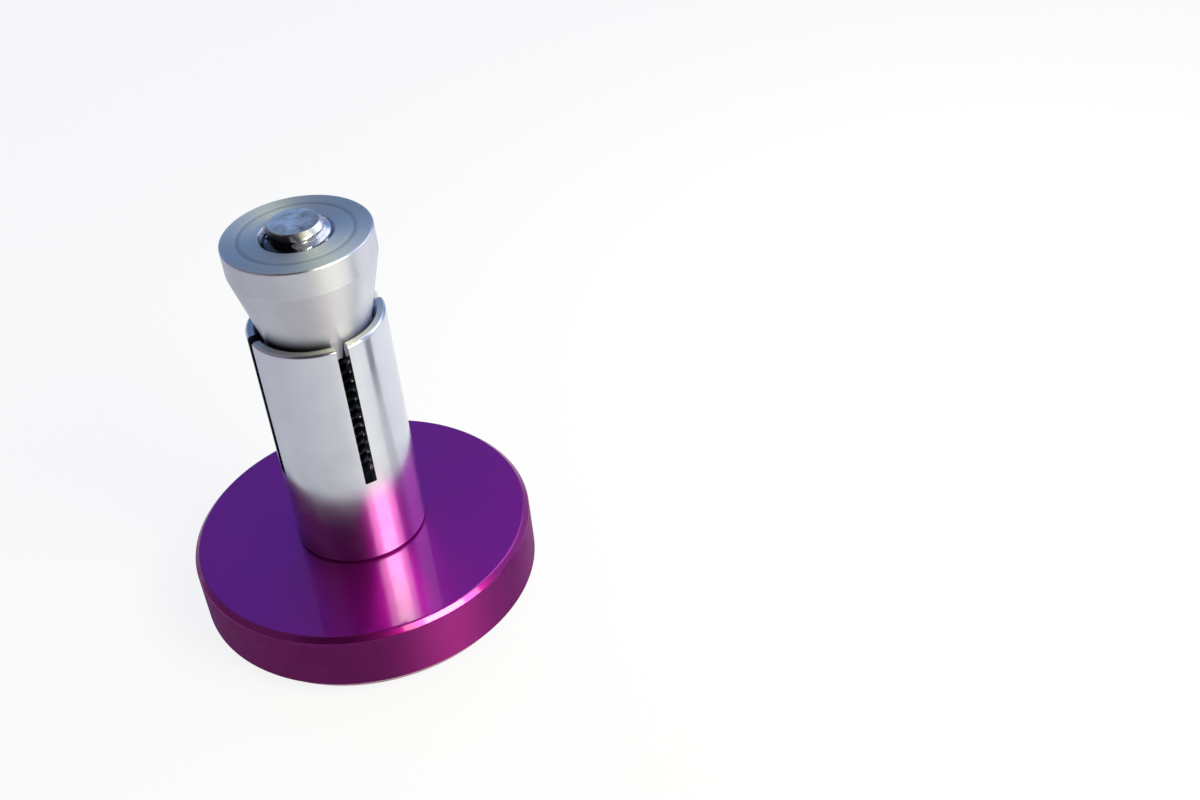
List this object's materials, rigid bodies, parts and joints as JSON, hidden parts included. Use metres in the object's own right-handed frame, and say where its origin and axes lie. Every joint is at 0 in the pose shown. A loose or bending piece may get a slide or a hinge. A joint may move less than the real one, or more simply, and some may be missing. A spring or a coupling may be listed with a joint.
{
  "type": "handlebar end plug",
  "caption": "Round chamfered disc on a slotted expanding sleeve with a taper nut, drawn in by a countersunk screw to close and weight a handlebar's open end.",
  "frame": {"origin": "centre of the screw head's flat face, on the surface that the plug stands on", "axes": "+Z along the plug's axis from the screw head to the taper nut's wide end; the sleeve's slots lie on the X and Y axes"},
  "size_m": [0.032, 0.032, 0.04],
  "materials": {
    "anodised_purple": "satin purple anodising over a fine turned surface",
    "bright_aluminium": "bright, smoothly turned",
    "satin_aluminium": "satin, with fine turning marks",
    "stainless_steel": "polished head, rough cut tip"
  },
  "bodies": {
    "disc_and_sleeve": {"end_disc": "anodised_purple", "expander_sleeve": "bright_aluminium"},
    "screw": {"clamp_screw": "stainless_steel"},
    "cone": {"expander_cone": "satin_aluminium"}
  },
  "joints": [
    {"name": "screw_turn", "type": "hinge", "parent": "disc_and_sleeve", "child": "screw", "pos_m": [0, 0, 0], "axis": [0, 0, -1], "range_deg": [0, 2160]},
    {"name": "cone_travel", "type": "slide", "parent": "disc_and_sleeve", "child": "cone", "axis": [0, 0, 1], "range_m": [0, 0.006]}
  ],
  "couplings": [
    {"joint": "cone_travel", "follows": "screw_turn", "m_per_rad": 0.00015915}
  ]
}
